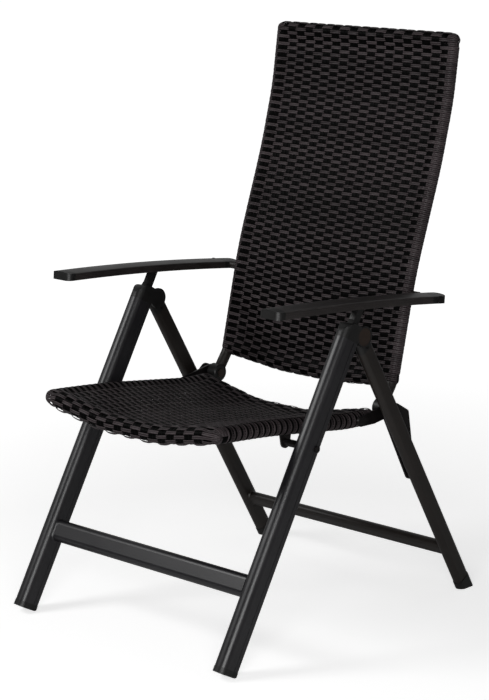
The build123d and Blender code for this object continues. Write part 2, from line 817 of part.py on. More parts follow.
# Bosses on the backrest's tube for the armrest bolts
arm_inner = arm_x - arm_width / 2
arm_outer = arm_x + arm_width / 2
arm_bolt_end = back_rail_x + back_tube_radius + arm_bolt_depth

with BuildPart() as armrest_bosses:
    with BuildLine():
        side_rail = back_loop(1)
    disc(
        back_rail_x, arm_pivot_y, arm_pivot_z, arm_spacer_radius,
        arm_inner - arm_spacer_gap - back_rail_x,
    )
    follow(side_rail, back_tube_radius, mode=Mode.SUBTRACT)
    disc(
        arm_bolt_end - pivot_fit, arm_pivot_y, arm_pivot_z, arm_bolt_radius + pivot_fit,
        arm_inner - arm_bolt_end + overrun, mode=Mode.SUBTRACT,
    )
    mirror(about=Plane.YZ)
save(armrest_bosses.part, "armrest_bosses")

with BuildPart() as back_tube_space:
    with BuildLine():
        side_rail = back_loop()
        low_rail = bottom_rail()
    follow(side_rail, back_tube_radius)
    follow(low_rail, back_tube_radius)
    disc(
        back_rail_x, arm_pivot_y, arm_pivot_z, arm_spacer_radius + wrap_gap,
        arm_inner - back_rail_x,
    )
    mirror(about=Plane.YZ)

with BuildPart() as back_weave:
    with BuildLine():
        side_rail = back_loop(1)
        low_rail = bottom_rail()
        middle = FilletPolyline(
            *[(0, leg_joint_y + y, z) for y, z in back_sides[1:]], radius=back_bends[1:]
        )
    follow(side_rail, back_tube_radius + back_wrap)
    follow(low_rail, back_tube_radius + back_wrap)
    mirror(about=Plane.YZ)
    with BuildSketch(Plane(origin=middle @ 0, x_dir=(-1, 0, 0), z_dir=middle % 0)):
        with Locations((0, back_panel_front - back_panel_thick / 2)):
            Rectangle(2 * back_rail_x, back_panel_thick)
    sweep(path=middle)
    add(back_tube_space.part, mode=Mode.SUBTRACT)
save(back_weave.part, "back_weave")

# Armrests, drawn in a side view whose origin is the rear pivot: forward, then up
arm_lean = radians(arm_fall)
arm_forward = Vector(0, -cos(arm_lean), sin(arm_lean))
arm_up = Vector(0, sin(arm_lean), cos(arm_lean))
arm_height = arm_side + arm_crown


def arm_side_plane(x):
    """Side view of the armrest, seen from the chair's right."""
    return Plane(origin=(x, arm_pivot_y, arm_pivot_z), x_dir=arm_forward, z_dir=(-1, 0, 0))


def arm_spot(forward, up):
    """Y and Z of a place in the armrest's side view."""
    spot = arm_forward * forward + arm_up * up
    return arm_pivot_y + spot.Y, arm_pivot_z + spot.Z


def arm_ridge():
    """Arched line along the middle of the armrest's top, from the rear to the front."""
    half_way = (arm_front - arm_rear) / 2
    with BuildLine(arm_side_plane(arm_x)) as ridge:
        ThreePointArc((-arm_rear, arm_top), (half_way, arm_top + arm_arch), (arm_front, arm_top))
    return ridge.line


def arm_section(inset=0):
    """Face across the armrest, with its crowned top, in the current sketch."""
    half = arm_width / 2 - inset
    edge = -arm_crown - inset
    with BuildSketch(mode=Mode.PRIVATE) as section:
        with BuildLine():
            crown = ThreePointArc((-half, edge), (0, -inset), (half, edge))
            Polyline(crown @ 1, (half, -arm_height), (-half, -arm_height), crown @ 0)
        make_face()
        fillet(section.vertices().group_by(Axis.Y)[-1], arm_edge - inset)
    add(section.sketch)


def along_arm(ridge, inset=0, mode=Mode.ADD):
    """Bar with the armrest's section over its whole length."""
    with BuildSketch(Plane(origin=ridge @ 0, x_dir=(1, 0, 0), z_dir=ridge % 0)) as bar:
        arm_section(inset)
    sweep(bar.sketch, path=ridge, mode=mode)


def keep_between(rear, front):
    """Keeps the stretch between two places along the armrest."""
    for place, toward in ((rear, 1), (front, -1)):
        y, z = arm_spot(place, 0)
        cut = Plane(origin=(arm_x, y, z), z_dir=arm_forward * toward)
        split(bisect_by=cut, keep=Keep.TOP)


ridge = arm_ridge()
channel_rear = arm_rear_cap - arm_rear
channel_front = arm_front - arm_front_cap


def arm_piece(inset, rear, front):
    """Stretch of the armrest's solid section between two places along it."""
    with BuildPart() as piece:
        along_arm(ridge, inset)
        keep_between(rear, front)
    return piece.part


def round_ends():
    """Rounds the armrest's four corners as seen from above."""
    plan = Plane(origin=(arm_x, arm_pivot_y, arm_pivot_z), x_dir=(1, 0, 0), z_dir=arm_up)
    with BuildSketch(plan) as outline:
        with Locations((0, (arm_rear - arm_front) / 2)):
            RectangleRounded(arm_width, arm_front + arm_rear, arm_cap_round)
    extrude(outline.sketch, amount=2 * arm_height, both=True, mode=Mode.INTERSECT)


with BuildPart() as armrest:
    along_arm(ridge)
    with BuildSketch(Plane(origin=ridge @ 0, x_dir=(1, 0, 0), z_dir=ridge % 0)):
        for height in (arm_groove_high, arm_groove_low):
            with Locations((0, -height)):
                with GridLocations(arm_width, 0, 2, 1):
                    Rectangle(2 * arm_groove_depth, arm_groove_width)
    sweep(path=ridge, mode=Mode.SUBTRACT)
    along_arm(ridge, arm_wall, mode=Mode.SUBTRACT)
    keep_between(channel_rear, channel_front)
save_pair(armrest.part, "armrest")

with BuildPart() as armrest_front_cap:
    add(arm_piece(0, channel_front, arm_front + overrun))
    round_ends()
    add(arm_piece(arm_wall + plug_fit, channel_front - arm_cap_plug, channel_front))
save_pair(armrest_front_cap.part, "armrest_front_cap")

with BuildPart() as armrest_rear_cap:
    add(arm_piece(0, -arm_rear - overrun, channel_rear))
    round_ends()
    add(arm_piece(arm_wall + plug_fit, channel_rear, channel_rear + arm_cap_plug))
    disc(
        arm_inner - overrun, arm_pivot_y, arm_pivot_z, arm_bolt_radius + pivot_fit,
        arm_width + 2 * overrun, mode=Mode.SUBTRACT,
    )
save_pair(armrest_rear_cap.part, "armrest_rear_cap")

with BuildPart() as armrest_bolt:
    head_x = arm_outer + side_gap
    disc(arm_bolt_end, arm_pivot_y, arm_pivot_z, arm_bolt_radius, head_x - arm_bolt_end)
    disc(head_x, arm_pivot_y, arm_pivot_z, arm_bolt_head, arm_bolt_head_height)
save_pair(armrest_bolt.part, "armrest_bolt")

# Notched strips under the armrests, whose notches take the pin one after another
rack_rear = rack_first - rack_end
rack_front = rack_first + (rack_count - 1) * rack_pitch + rack_end
rack_crown = arm_crown * (rack_width / arm_width) ** 2
rack_ceiling = arm_wall + rack_gap + rack_crown + rack_base


def ridge_height(forward):
    """Height of the armrest's ridge in its side view."""
    half_way = (arm_front - arm_rear) / 2
    share = (forward - half_way) / (arm_front - half_way)
    return arm_top + arm_arch * (1 - share ** 2)


with BuildPart() as armrest_rack:
    with BuildSketch(Plane(origin=ridge @ 0, x_dir=(1, 0, 0), z_dir=ridge % 0)):
        arm_section(arm_wall + rack_gap)
        Rectangle(rack_width, 2 * rack_depth, mode=Mode.INTERSECT)
        with Locations((0, -rack_ceiling)):
            Rectangle(
                rack_width - 2 * rack_flange, 2 * rack_depth,
                align=(Align.CENTER, Align.MAX), mode=Mode.SUBTRACT,
            )
    sweep(path=ridge)
    keep_between(rack_rear, rack_front)
    for notch in range(rack_count):
        forward = rack_first + notch * rack_pitch
        y, z = arm_spot(forward, ridge_height(forward) - rack_depth)
        disc(arm_x - rack_width, y, z, notch_radius, 2 * rack_width, mode=Mode.SUBTRACT)
save_pair(armrest_rack.part, "armrest_rack")
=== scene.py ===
import math

import bpy
import numpy as np
from mathutils import Matrix, Vector


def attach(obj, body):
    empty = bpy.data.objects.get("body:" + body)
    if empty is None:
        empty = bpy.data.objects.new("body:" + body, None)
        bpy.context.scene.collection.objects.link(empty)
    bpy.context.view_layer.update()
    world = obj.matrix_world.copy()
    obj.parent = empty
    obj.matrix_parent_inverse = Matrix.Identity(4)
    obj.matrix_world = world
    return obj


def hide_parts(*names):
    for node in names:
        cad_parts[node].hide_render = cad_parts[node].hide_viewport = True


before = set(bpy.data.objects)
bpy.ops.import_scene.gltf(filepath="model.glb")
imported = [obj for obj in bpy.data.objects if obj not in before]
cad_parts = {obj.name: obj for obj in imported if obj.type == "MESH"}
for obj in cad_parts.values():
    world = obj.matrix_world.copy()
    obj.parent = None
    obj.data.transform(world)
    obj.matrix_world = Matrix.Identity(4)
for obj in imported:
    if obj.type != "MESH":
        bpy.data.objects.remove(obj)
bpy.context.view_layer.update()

# Sizes in millimetres, as the CAD model has them; meshes are written in metres
MM = 0.001
LEG_JOINT_Y = 16.5       # y of the leg joint, from which the sides are measured

ROW_PITCH = 7.5          # from one row of the weave to the next
ROW_WIDTH = 6.5          # where uprights press on a row
ROW_FULL_WIDTH = 7.4     # where it lies free, round a side tube
ROW_THICK = 1.3
UPRIGHT_PITCH = 23.0     # from one pair of upright strands to the next
UPRIGHT_WIDTH = 11.9
UPRIGHT_THICK = 1.0
UPRIGHT_SWAY = 0.35      # rise and fall of an upright behind and before the rows
WAVE = 1.9               # rise and fall of a row over and under the uprights
WAVE_HOLD = 1.6          # how squarely a row turns from up to down
WAVE_BIAS = 0.22         # how much longer it stays up than down
WAVE_AT_EDGE = 0.06      # share of that wave left where a row goes round a side tube
WAVE_END_RUN = 8.0       # run over which the wave shrinks there
WAVE_END_EARLY = 0.4     # share of that run which lies before the tube
SIDE_SWEEP = 200.0       # degrees by which a row goes round a side tube
CORNER_SWEEP = 85.0      # degrees by which the rows at an end go round the corner
ROW_LEAST = 0.1          # least share of its width that a row keeps at a corner
ROW_WANDER = 0.07        # how far rows stray from their places
WANDER_POINTS = 9        # places along a row where the straying is drawn
GROOVE_PITCH = 3.7       # a strand has a groove along its middle and a ridge either side
UPRIGHT_PAIRS = 9        # pairs of uprights on each side of the middle pair
END_RISE = 26.0          # run over which a panel rises to its end tubes
END_ROWS = 6             # rows that roll round an end tube
END_RUN = 36.0           # run of an upright round an end tube
CORNER_START = 0.6       # share of a corner's bend at which rows begin to meet there
CORNER_STOP = 0.5        # share of it at which the outer uprights end
CORNER_RUN = 30.0        # run over which the end rolls slim down towards the corners

# A side is the corners of a side tube's line, as y from the leg joint and z, with the radii of
# its bends. A corner's radius is that of the bend into the rail there.
BACK_X = 217.5
BACK_SIDE = [(160.0, 444.0), (210.0, 650.0), (280.0, 845.0), (314.0, 968.0), (331.0, 1079.0)]
BACK_BENDS = [1000.0, 1000.0, 500.0]
BACK_CORNER = 16.0
BACK_LOW = 449.0         # height of the low rail, and how far its middle bows down
BACK_BOW = 14.0
BACK_BOW_X = 70.0
BACK_BOW_BEND = 400.0
# share of the bow, by distance from the middle plane
BACK_BOW_LINE = np.array([[0, 1], [50, 1], [70, 0.97], [90, 0.86], [217.5, 0], [300, 0]])
BACK_PANEL = 5.0         # middle of the woven panel ahead of the tube's centre
BACK_RISE = 26.0         # run over which a row rises to a side tube
BACK_ROLL = 12.4         # middle of the strands round the back's tube
BACK_WIND = 11.2         # radius to which the tube is wound below them
LOW_RAIL_IN = 8.0        # ends of the wound low rail, inward of the side tubes

SEAT_X = 216.0
SEAT_SIDE = [(-321.0, 431.0), (-184.0, 419.5), (26.0, 391.0), (88.0, 389.0)]
SEAT_BENDS = [2400.0, 420.0]
SEAT_CORNER = 22.0
SEAT_BOW_X = 75.0
SEAT_BOW_BEND = 330.0
SEAT_BOWS = (24.5, 26.0, 29.0)   # middle of front rail, panel and rear rail below the sides
SEAT_BOW_LINE = np.array([[0, 1], [49, 1], [67, 0.98], [83, 0.93], [103, 0.8], [216, 0], [300, 0]])
SEAT_PANEL = 10.5        # middle of the woven panel above the tube's centre
SEAT_RISE = 20.0         # rise and winding, as for the back
SEAT_WIND = 13.8
SEAT_ROLL = 14.4         # middle of the strands round the seat's side tubes
SEAT_FRONT_ROLL = 17.0   # and round its front, as far out as the real double layer

FLOOR_SIZE = 30.0        # in metres
FLOOR_LIFT = 0.66        # how much brighter the camera sees the floor than its lighting
LIFT_RUN = (0.8, 2.6)    # metres from the middle over which the lift rises to full white
ROOM_LIGHT = 0.045       # brightness of the dark studio round the lamps
BACKDROP_SIDE = (-0.69, 0.72, 0.0)   # the way from the chair to the backdrop
BACKDROP_EDGE = (0.3, 0.8)   # where it fades in, as the cosine of the angle to that way
BACKDROP_GLOSS = 0.4     # share of the backdrop that gloss shows

STRAIGHT = 1e-6          # a turn below this, in radians, is no bend
RISE_POINTS = 14         # points of a row's line on its rise, and round the side tube
SWEEP_POINTS = 40
STEP = 0.3               # half the span over which a surface's directions are measured
LINE_STEP = 0.5          # and a line's
BINDING_RISE = 1.2       # height of each turn of a bound tube
PROUD_TURN = 0.5         # how much prouder every second turn stands
TURN_STEPS = 7           # rings of the mesh in each turn
TONES = (0.2, 0.6)       # lightness of a strand among its fellows
BINDING_TONE = 0.5       # and of the binding
STRAND_CLOUD = 16.0      # size in mm of the soft patches on a strand
CLOUD_SHARE = 0.3        # how far those patches change its lightness
GROOVE_SHADE = 0.35      # and how far painted shade darkens the colour in its grooves
CLOUD_ENDS = (0.3, 0.7)  # values of the noise between which a finish changes

rng = np.random.default_rng(7)


# Lines and surfaces

def rounded_line(corners, radii, arc_points=16):
    """Line through corners with its bends rounded: each arc starts radius x tan(half the turn)
    before the corner and is the circle of that radius which touches both runs."""
    corners = np.asarray(corners, float)
    points = [corners[0]]
    for before, here, after, radius in zip(corners, corners[1:], corners[2:], radii):
        into = (here - before) / np.linalg.norm(here - before)
        out = (after - here) / np.linalg.norm(after - here)
        turn = math.acos(np.clip(into @ out, -1, 1))
        if turn < STRAIGHT:
            points.append(here)
            continue
        start = here - into * radius * math.tan(turn / 2)
        inward = (out - into * (into @ out)) / math.sin(turn)
        angle = np.linspace(0, turn, arc_points)[:, None]
        points.extend(start + radius * (into * np.sin(angle) + inward * (1 - np.cos(angle))))
    points.append(corners[-1])
    return np.array(points)


def lengths(line):
    """Distance of each point of a line from its first point."""
    steps = np.linalg.norm(np.diff(line, axis=0), axis=1)
    return np.concatenate([[0.0], np.cumsum(steps)])


def at_length(line, distance):
    """Point of a line at a distance from its start, carried straight on past both ends."""
    ruler = lengths(line)
    inside = np.clip(distance, 0, ruler[-1])
    point = np.stack([np.interp(inside, ruler, axis) for axis in line.T], axis=-1)
    first = (line[1] - line[0]) / ruler[1]
    last = (line[-1] - line[-2]) / (ruler[-1] - ruler[-2])
    before = np.minimum(distance, 0)[..., None] * first
    after = np.maximum(distance - ruler[-1], 0)[..., None] * last
    return point + before + after


def smooth_step(value):
    """0 below 0, 1 above 1, and 3 v^2 - 2 v^3 between."""
    value = np.clip(value, 0, 1)
    return value * value * (3 - 2 * value)


def cross_line(half_width, level, radius, ramp):
    """Right half of the line that a row follows across a panel: level, a smooth rise of the
    given length to the top of the side tube, then round the tube by the side sweep."""
    flat = np.array([[0.0, level], [half_width - ramp, level]])
    place = np.linspace(0, 1, RISE_POINTS)[1:]
    rise = np.stack([
        half_width - ramp + ramp * place,
        level + (radius - level) * smooth_step(place),
    ], axis=1)
    angle = np.radians(np.linspace(0, SIDE_SWEEP, SWEEP_POINTS)[1:])
    wrap = np.stack([half_width + radius * np.sin(angle), radius * np.cos(angle)], axis=1)
    return np.concatenate([flat, rise, wrap])


def woven_surface(side, cross, ends, rolls, bows, bow_line):
    """Function of u, across, and t, along the side, that gives points of a woven panel.

    Between the two ends a point is side(t) + x(u) along X + n(u) along the panel's normal, less
    bow(t) x b(x) downwards. Past either end the normal turns by (t - end) / roll, which rolls the
    surface round the end tube. Near both ends n rises to the roll's radius.
    """
    low, high = ends
    edge = cross[cross[:, 1] == cross[:, 1].max(), 0].min()
    top = cross[:, 1].max()

    def surface(u, t):
        held = np.clip(t, low, high)
        centre = at_length(side, held)
        ahead = at_length(side, held + LINE_STEP) - at_length(side, held - LINE_STEP)
        ahead /= np.linalg.norm(ahead, axis=-1, keepdims=True)
        out = np.stack([-ahead[..., 1], ahead[..., 0]], axis=-1)
        line = at_length(cross, np.abs(u))
        x = line[..., 0] * np.sign(u)
        # the rolls slim down to the side tube's size at the corners
        slim = smooth_step((np.abs(x) - edge + CORNER_RUN) / CORNER_RUN)
        low_roll, high_roll = [roll + (top - roll) * slim for roll in rolls]
        turn = (np.minimum(t - low, 0) / low_roll + np.maximum(t - high, 0) / high_roll)[..., None]
        out = out * np.cos(turn) + ahead * np.sin(turn)
        n = line[..., 1]
        inside = line[..., 0] < edge
        near_low = np.where(inside, smooth_step((low + END_RISE - t) / END_RISE), 0)
        near_high = np.where(inside, smooth_step((t - high + END_RISE) / END_RISE), 0)
        n = n + (low_roll - n) * near_low + (high_roll - n) * near_high
        bow = np.interp(t, [low, (low + high) / 2, high], bows)
        drop = bow * np.interp(np.abs(x), bow_line[:, 0], bow_line[:, 1])
        spot = centre + out * n[..., None]
        return np.stack([x, spot[..., 0], spot[..., 1] - drop], axis=-1)
    return surface


def grid_frame(surface, u, t):
    """Point of a surface, directions of t and u, outward normal, and the true length of one mm
    of t, all by differences over STEP to each side."""
    here = surface(u, t)
    along = surface(u, t + STEP) - surface(u, t - STEP)
    across = surface(u + STEP, t) - surface(u - STEP, t)
    room = np.linalg.norm(along, axis=-1)
    along /= room[..., None]
    across /= np.linalg.norm(across, axis=-1, keepdims=True)
    normal = np.cross(across, along)
    normal /= np.linalg.norm(normal, axis=-1, keepdims=True)
    return here, along, across, normal, room / (2 * STEP)


def strand_section(width, thick, points=10):
    """Closed ring of a flat strand's section: a = w/2 |cos|^0.55, b = h/2 |sin|^0.75, signed."""
    angle = np.arange(points) * 2 * np.pi / points
    a = np.sign(np.cos(angle)) * np.abs(np.cos(angle)) ** 0.55 * width / 2
    b = np.sign(np.sin(angle)) * np.abs(np.sin(angle)) ** 0.75 * thick / 2
    return a, b


# Meshes

def mesh_from_rings(name, rings, uv=None, tone=None):
    """Mesh of tubes with closed ends. rings is an array tubes x rings x points x 3, in mm,
    each ring running anticlockwise seen from the tube's far end."""
    tubes, count, points, _ = rings.shape
    index = np.arange(tubes * count * points).reshape(tubes, count, points)
    here, ahead = index[:, :-1], index[:, 1:]
    quads = np.stack(
        [here, np.roll(here, -1, 2), np.roll(ahead, -1, 2), ahead], axis=-1
    ).reshape(-1, 4)
    starts = index[:, 0, ::-1].reshape(-1, points)
    ends = index[:, -1].reshape(-1, points)
    corners = np.concatenate([quads.ravel(), starts.ravel(), ends.ravel()])
    sizes = np.concatenate([
        np.full(len(quads), 4), np.full(len(starts) + len(ends), points)
    ])
    mesh = bpy.data.meshes.new(name)
    mesh.vertices.add(index.size)
    mesh.vertices.foreach_set("co", (rings * MM).ravel().astype(np.float32))
    mesh.loops.add(len(corners))
    mesh.loops.foreach_set("vertex_index", corners.astype(np.int32))
    mesh.polygons.add(len(sizes))
    loop_start = np.concatenate([[0], np.cumsum(sizes)[:-1]])
    mesh.polygons.foreach_set("loop_start", loop_start.astype(np.int32))
    mesh.polygons.foreach_set("loop_total", sizes.astype(np.int32))
    mesh.polygons.foreach_set("use_smooth", np.ones(len(sizes), bool))
    if uv is not None:
        layer = mesh.uv_layers.new(name="strand")
        layer.uv.foreach_set("vector", (uv.reshape(-1, 2)[corners] * MM).ravel().astype(np.float32))
    if tone is not None:
        shade = mesh.attributes.new("tone", "FLOAT", "POINT")
        spread = np.broadcast_to(tone[:, None, None], index.shape)
        shade.data.foreach_set("value", spread.ravel().astype(np.float32))
    mesh.update()
    mesh.validate()
    piece = bpy.data.objects.new(name, mesh)
    bpy.context.scene.collection.objects.link(piece)
    return piece


def weave_wave(u, row):
    """Height of a row at u: tanh of a biased cosine, one up and one down per two uprights, so
    that it stays up over three fifths of the way. Rows alternate by half a period."""
    swing = np.cos(np.pi * (u / UPRIGHT_PITCH + row))
    return WAVE * np.tanh(WAVE_HOLD * (swing + WAVE_BIAS))


def row_strands(name, surface, rows, reach, first_t, edge, samples=190):
    """Rows of flat strand laid across a surface: section (a, b) is put at
    surface(u, t) + a x (direction of t) + (b + wave) x normal. Past the edge, round the side
    tube, the wave shrinks to its share there and the row widens, and at a corner, where rows
    meet, each narrows with the room it has."""
    a, b = strand_section(ROW_WIDTH, ROW_THICK)
    share = np.linspace(-1, 1, samples)
    u = share[None, :] * reach[:, None]
    t = np.broadcast_to((first_t + rows * ROW_PITCH)[:, None], u.shape)
    here, along, _, normal, room = grid_frame(surface, u, t)
    knots = np.linspace(-1, 1, WANDER_POINTS)
    wander = rng.normal(0, ROW_WANDER, (len(rows), len(knots)))
    drift = np.stack([np.interp(share, knots, line) for line in wander])
    past = smooth_step((np.abs(u) - edge) / WAVE_END_RUN + WAVE_END_EARLY)
    height = weave_wave(u, rows[:, None]) * (1 - (1 - WAVE_AT_EDGE) * past) + drift
    fit = np.clip(room, ROW_LEAST, 1) * (1 + (ROW_FULL_WIDTH / ROW_WIDTH - 1) * past)
    rings = (
        here[:, :, None] + along[:, :, None] * (a * fit[..., None] + drift[..., None])[..., None]
        + normal[:, :, None] * (b + height[..., None])[..., None]
    )
    uv = np.stack(np.broadcast_arrays(u[..., None], a), axis=-1)
    return mesh_from_rings(name, rings, uv, rng.uniform(*TONES, len(rows)))


def upright_strands(name, surface, places, t_ends, corner_t_ends, corner_u, first_t, samples=240):
    """Pairs of upright strands: each follows t at constant u, sinking where a row passes over
    and rising where it passes under. Those near the corners stop short of the end tubes."""
    a, b = strand_section(UPRIGHT_WIDTH, UPRIGHT_THICK)
    u0 = np.concatenate([
        places * UPRIGHT_PITCH - UPRIGHT_PITCH / 4, places * UPRIGHT_PITCH + UPRIGHT_PITCH / 4
    ])
    number = np.concatenate([places, places])
    near_corner = np.abs(u0) > corner_u
    t_from = np.where(near_corner, corner_t_ends[0], t_ends[0])[:, None]
    t_to = np.where(near_corner, corner_t_ends[1], t_ends[1])[:, None]
    t = t_from + (t_to - t_from) * np.linspace(0, 1, samples)
    u = np.broadcast_to(u0[:, None], t.shape)
    here, _, across, normal, _ = grid_frame(surface, u, t)
    row = (t - first_t) / ROW_PITCH
    height = -UPRIGHT_SWAY * np.cos(np.pi * (row + number[:, None]))
    rings = (
        here[:, :, None] - across[:, :, None] * a[:, None]
        + normal[:, :, None] * (b + height[..., None])[..., None]
    )
    uv = np.stack(np.broadcast_arrays(t[..., None], a), axis=-1)
    return mesh_from_rings(name, rings, uv, rng.uniform(*TONES, len(u0)))


def bound_tube(name, line, reference, radius, ring_points=20):
    """Tube wound with strand: its radius is r + h |sin(pi s / pitch)|^0.5, and every second
    turn stands a little prouder."""
    ruler = lengths(line)
    s = np.linspace(0, ruler[-1], int(ruler[-1] / ROW_PITCH * TURN_STEPS))
    here = at_length(line, s)
    ahead = at_length(line, s + LINE_STEP) - at_length(line, s - LINE_STEP)
    ahead /= np.linalg.norm(ahead, axis=-1, keepdims=True)
    side = np.cross(ahead, reference)
    side /= np.linalg.norm(side, axis=-1, keepdims=True)
    up = np.cross(side, ahead)
    turn = s / ROW_PITCH
    proud = 0.5 * (1 + np.cos(np.pi * np.floor(turn)))
    r = radius + BINDING_RISE * np.abs(np.sin(np.pi * turn)) ** 0.5 + PROUD_TURN * proud
    angle = np.arange(ring_points) * 2 * np.pi / ring_points
    rings = (
        here[:, None] + side[:, None] * (r[:, None] * np.cos(angle))[..., None]
        + up[:, None] * (r[:, None] * np.sin(angle))[..., None]
    )[None]
    uv = np.stack(np.broadcast_arrays(
        radius * angle[None, None], (np.mod(s, ROW_PITCH) - ROW_PITCH / 2)[None, :, None]
    ), axis=-1)
    return mesh_from_rings(name, rings, uv, np.array([BINDING_TONE]))


def mirrored(right_half):
    """Whole line from its right half, which runs towards the middle plane at its end."""
    left = right_half[::-1] * [-1, 1, 1]
    return np.concatenate([right_half, left[1:]])


def woven_panel(part, surface, cross, half_width, roll, corner, ends):
    """Rows, odd and even, and uprights of a panel between two end tubes, all rolled round them.
    Rows near a corner stop at the corner's sweep, the others go round the whole side sweep."""
    low, high = ends
    count = int((high - low) / ROW_PITCH)
    first_t = low + (high - low - count * ROW_PITCH) / 2
    rows = np.arange(-END_ROWS, count + END_ROWS + 1)
    row_t = first_t + rows * ROW_PITCH
    meeting = corner * CORNER_START
    wraps_side = (row_t > low + meeting) & (row_t < high - meeting)
    whole = lengths(cross)[-1]
    reach = np.where(wraps_side, whole, whole - roll * math.radians(SIDE_SWEEP - CORNER_SWEEP))
    panel = [
        row_strands(f"{part}_rows_{side}", surface, rows[rows % 2 == odd], reach[rows % 2 == odd],
                    first_t, half_width)
        for side, odd in (("even", 0), ("odd", 1))
    ]
    places = np.arange(-UPRIGHT_PAIRS, UPRIGHT_PAIRS + 1)
    stop = corner * CORNER_STOP
    panel.append(upright_strands(
        f"{part}_uprights", surface, places, (low - END_RUN, high + END_RUN),
        (low + stop, high - stop), half_width - corner, first_t,
    ))
    return panel


# Backrest: rows across, rolled round the side, top and low tubes
back_side = rounded_line([(LEG_JOINT_Y + y, z) for y, z in BACK_SIDE], BACK_BENDS)
back_length = lengths(back_side)[-1]
back_start = np.interp(BACK_LOW, back_side[:, 1], lengths(back_side))
back_cross = cross_line(BACK_X, BACK_PANEL, BACK_ROLL, BACK_RISE)
back_surface = woven_surface(
    back_side, back_cross, (back_start, back_length), (BACK_ROLL, BACK_ROLL),
    (BACK_BOW, 0, 0), BACK_BOW_LINE,
)
back_pieces = woven_panel(
    "back", back_surface, back_cross, BACK_X, BACK_ROLL, BACK_CORNER, (back_start, back_length)
)
top_y, top_z = BACK_SIDE[-1]
back_loop = mirrored(rounded_line(
    [(BACK_X, LEG_JOINT_Y + y, z) for y, z in BACK_SIDE] + [(0, LEG_JOINT_Y + top_y, top_z)],
    BACK_BENDS + [BACK_CORNER],
))
back_pieces.append(bound_tube("back_binding", back_loop, (0, -1, 0), BACK_WIND))
low_y = at_length(back_side, back_start)[0]
low_rail = mirrored(rounded_line(
    [(BACK_X - LOW_RAIL_IN, low_y, BACK_LOW), (BACK_BOW_X, low_y, BACK_LOW - BACK_BOW),
     (0, low_y, BACK_LOW - BACK_BOW)], [BACK_BOW_BEND],
))
back_pieces.append(bound_tube("back_low_binding", low_rail, (0, -1, 0), BACK_WIND))

# Seat: the same weave, slung between its side tubes and rolled round the front and rear rails
seat_side = rounded_line([(LEG_JOINT_Y + y, z) for y, z in SEAT_SIDE], SEAT_BENDS)
seat_length = lengths(seat_side)[-1]
seat_cross = cross_line(SEAT_X, SEAT_PANEL, SEAT_ROLL, SEAT_RISE)
seat_surface = woven_surface(
    seat_side, seat_cross, (0.0, seat_length), (SEAT_FRONT_ROLL, SEAT_ROLL),
    SEAT_BOWS, SEAT_BOW_LINE,
)
seat_pieces = woven_panel(
    "seat", seat_surface, seat_cross, SEAT_X, SEAT_ROLL, SEAT_CORNER, (0.0, seat_length)
)
side_points = [(SEAT_X, LEG_JOINT_Y + y, z) for y, z in SEAT_SIDE]
front_y, front_z = side_points[0][1:]
rear_y, rear_z = side_points[-1][1:]
seat_half = rounded_line(
    [(0, front_y, front_z - SEAT_BOWS[0]), (SEAT_BOW_X, front_y, front_z - SEAT_BOWS[0])]
    + side_points
    + [(SEAT_BOW_X, rear_y, rear_z - SEAT_BOWS[2]), (0, rear_y, rear_z - SEAT_BOWS[2])],
    [SEAT_BOW_BEND, SEAT_CORNER, *SEAT_BENDS, SEAT_CORNER, SEAT_BOW_BEND],
)
seat_pieces.append(bound_tube("seat_binding", mirrored(seat_half), (0, 0, 1), SEAT_WIND))

for group, body, node in (
    (back_pieces, "backrest", "back_weave"), (seat_pieces, "seat", "seat_weave")
):
    for piece in group:
        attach(piece, body)
        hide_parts(node)


# Materials

def linear(hex_colour):
    """sRGB hex colour as linear RGBA."""
    parts = [int(hex_colour[i:i + 2], 16) / 255 for i in (1, 3, 5)]
    parts = [c / 12.92 if c <= 0.04045 else ((c + 0.055) / 1.055) ** 2.4 for c in parts]
    return (*parts, 1.0)


def add(tree, kind, inputs=None, **settings):
    """Adds a node of a kind, sets its properties, and fills or links its inputs by name."""
    node = tree.nodes.new(kind)
    for key, value in settings.items():
        setattr(node, key, value)
    for key, value in (inputs or {}).items():
        if isinstance(value, bpy.types.NodeSocket):
            tree.links.new(value, node.inputs[key])
        else:
            node.inputs[key].default_value = value
    return node


def blank_material(name):
    """New material with an empty node tree."""
    material = bpy.data.materials.new(name)
    material.use_nodes = True
    material.node_tree.nodes.clear()
    return material, material.node_tree


def two_tone(tree, factor, low, high, start=CLOUD_ENDS[0], end=CLOUD_ENDS[1]):
    """Colour that runs from low to high as the factor goes from start to end."""
    ramp = add(tree, "ShaderNodeValToRGB", {"Fac": factor})
    for stop, place, colour in zip(ramp.color_ramp.elements, (start, end), (low, high)):
        stop.position = place
        stop.color = linear(colour)
    return ramp.outputs["Color"]


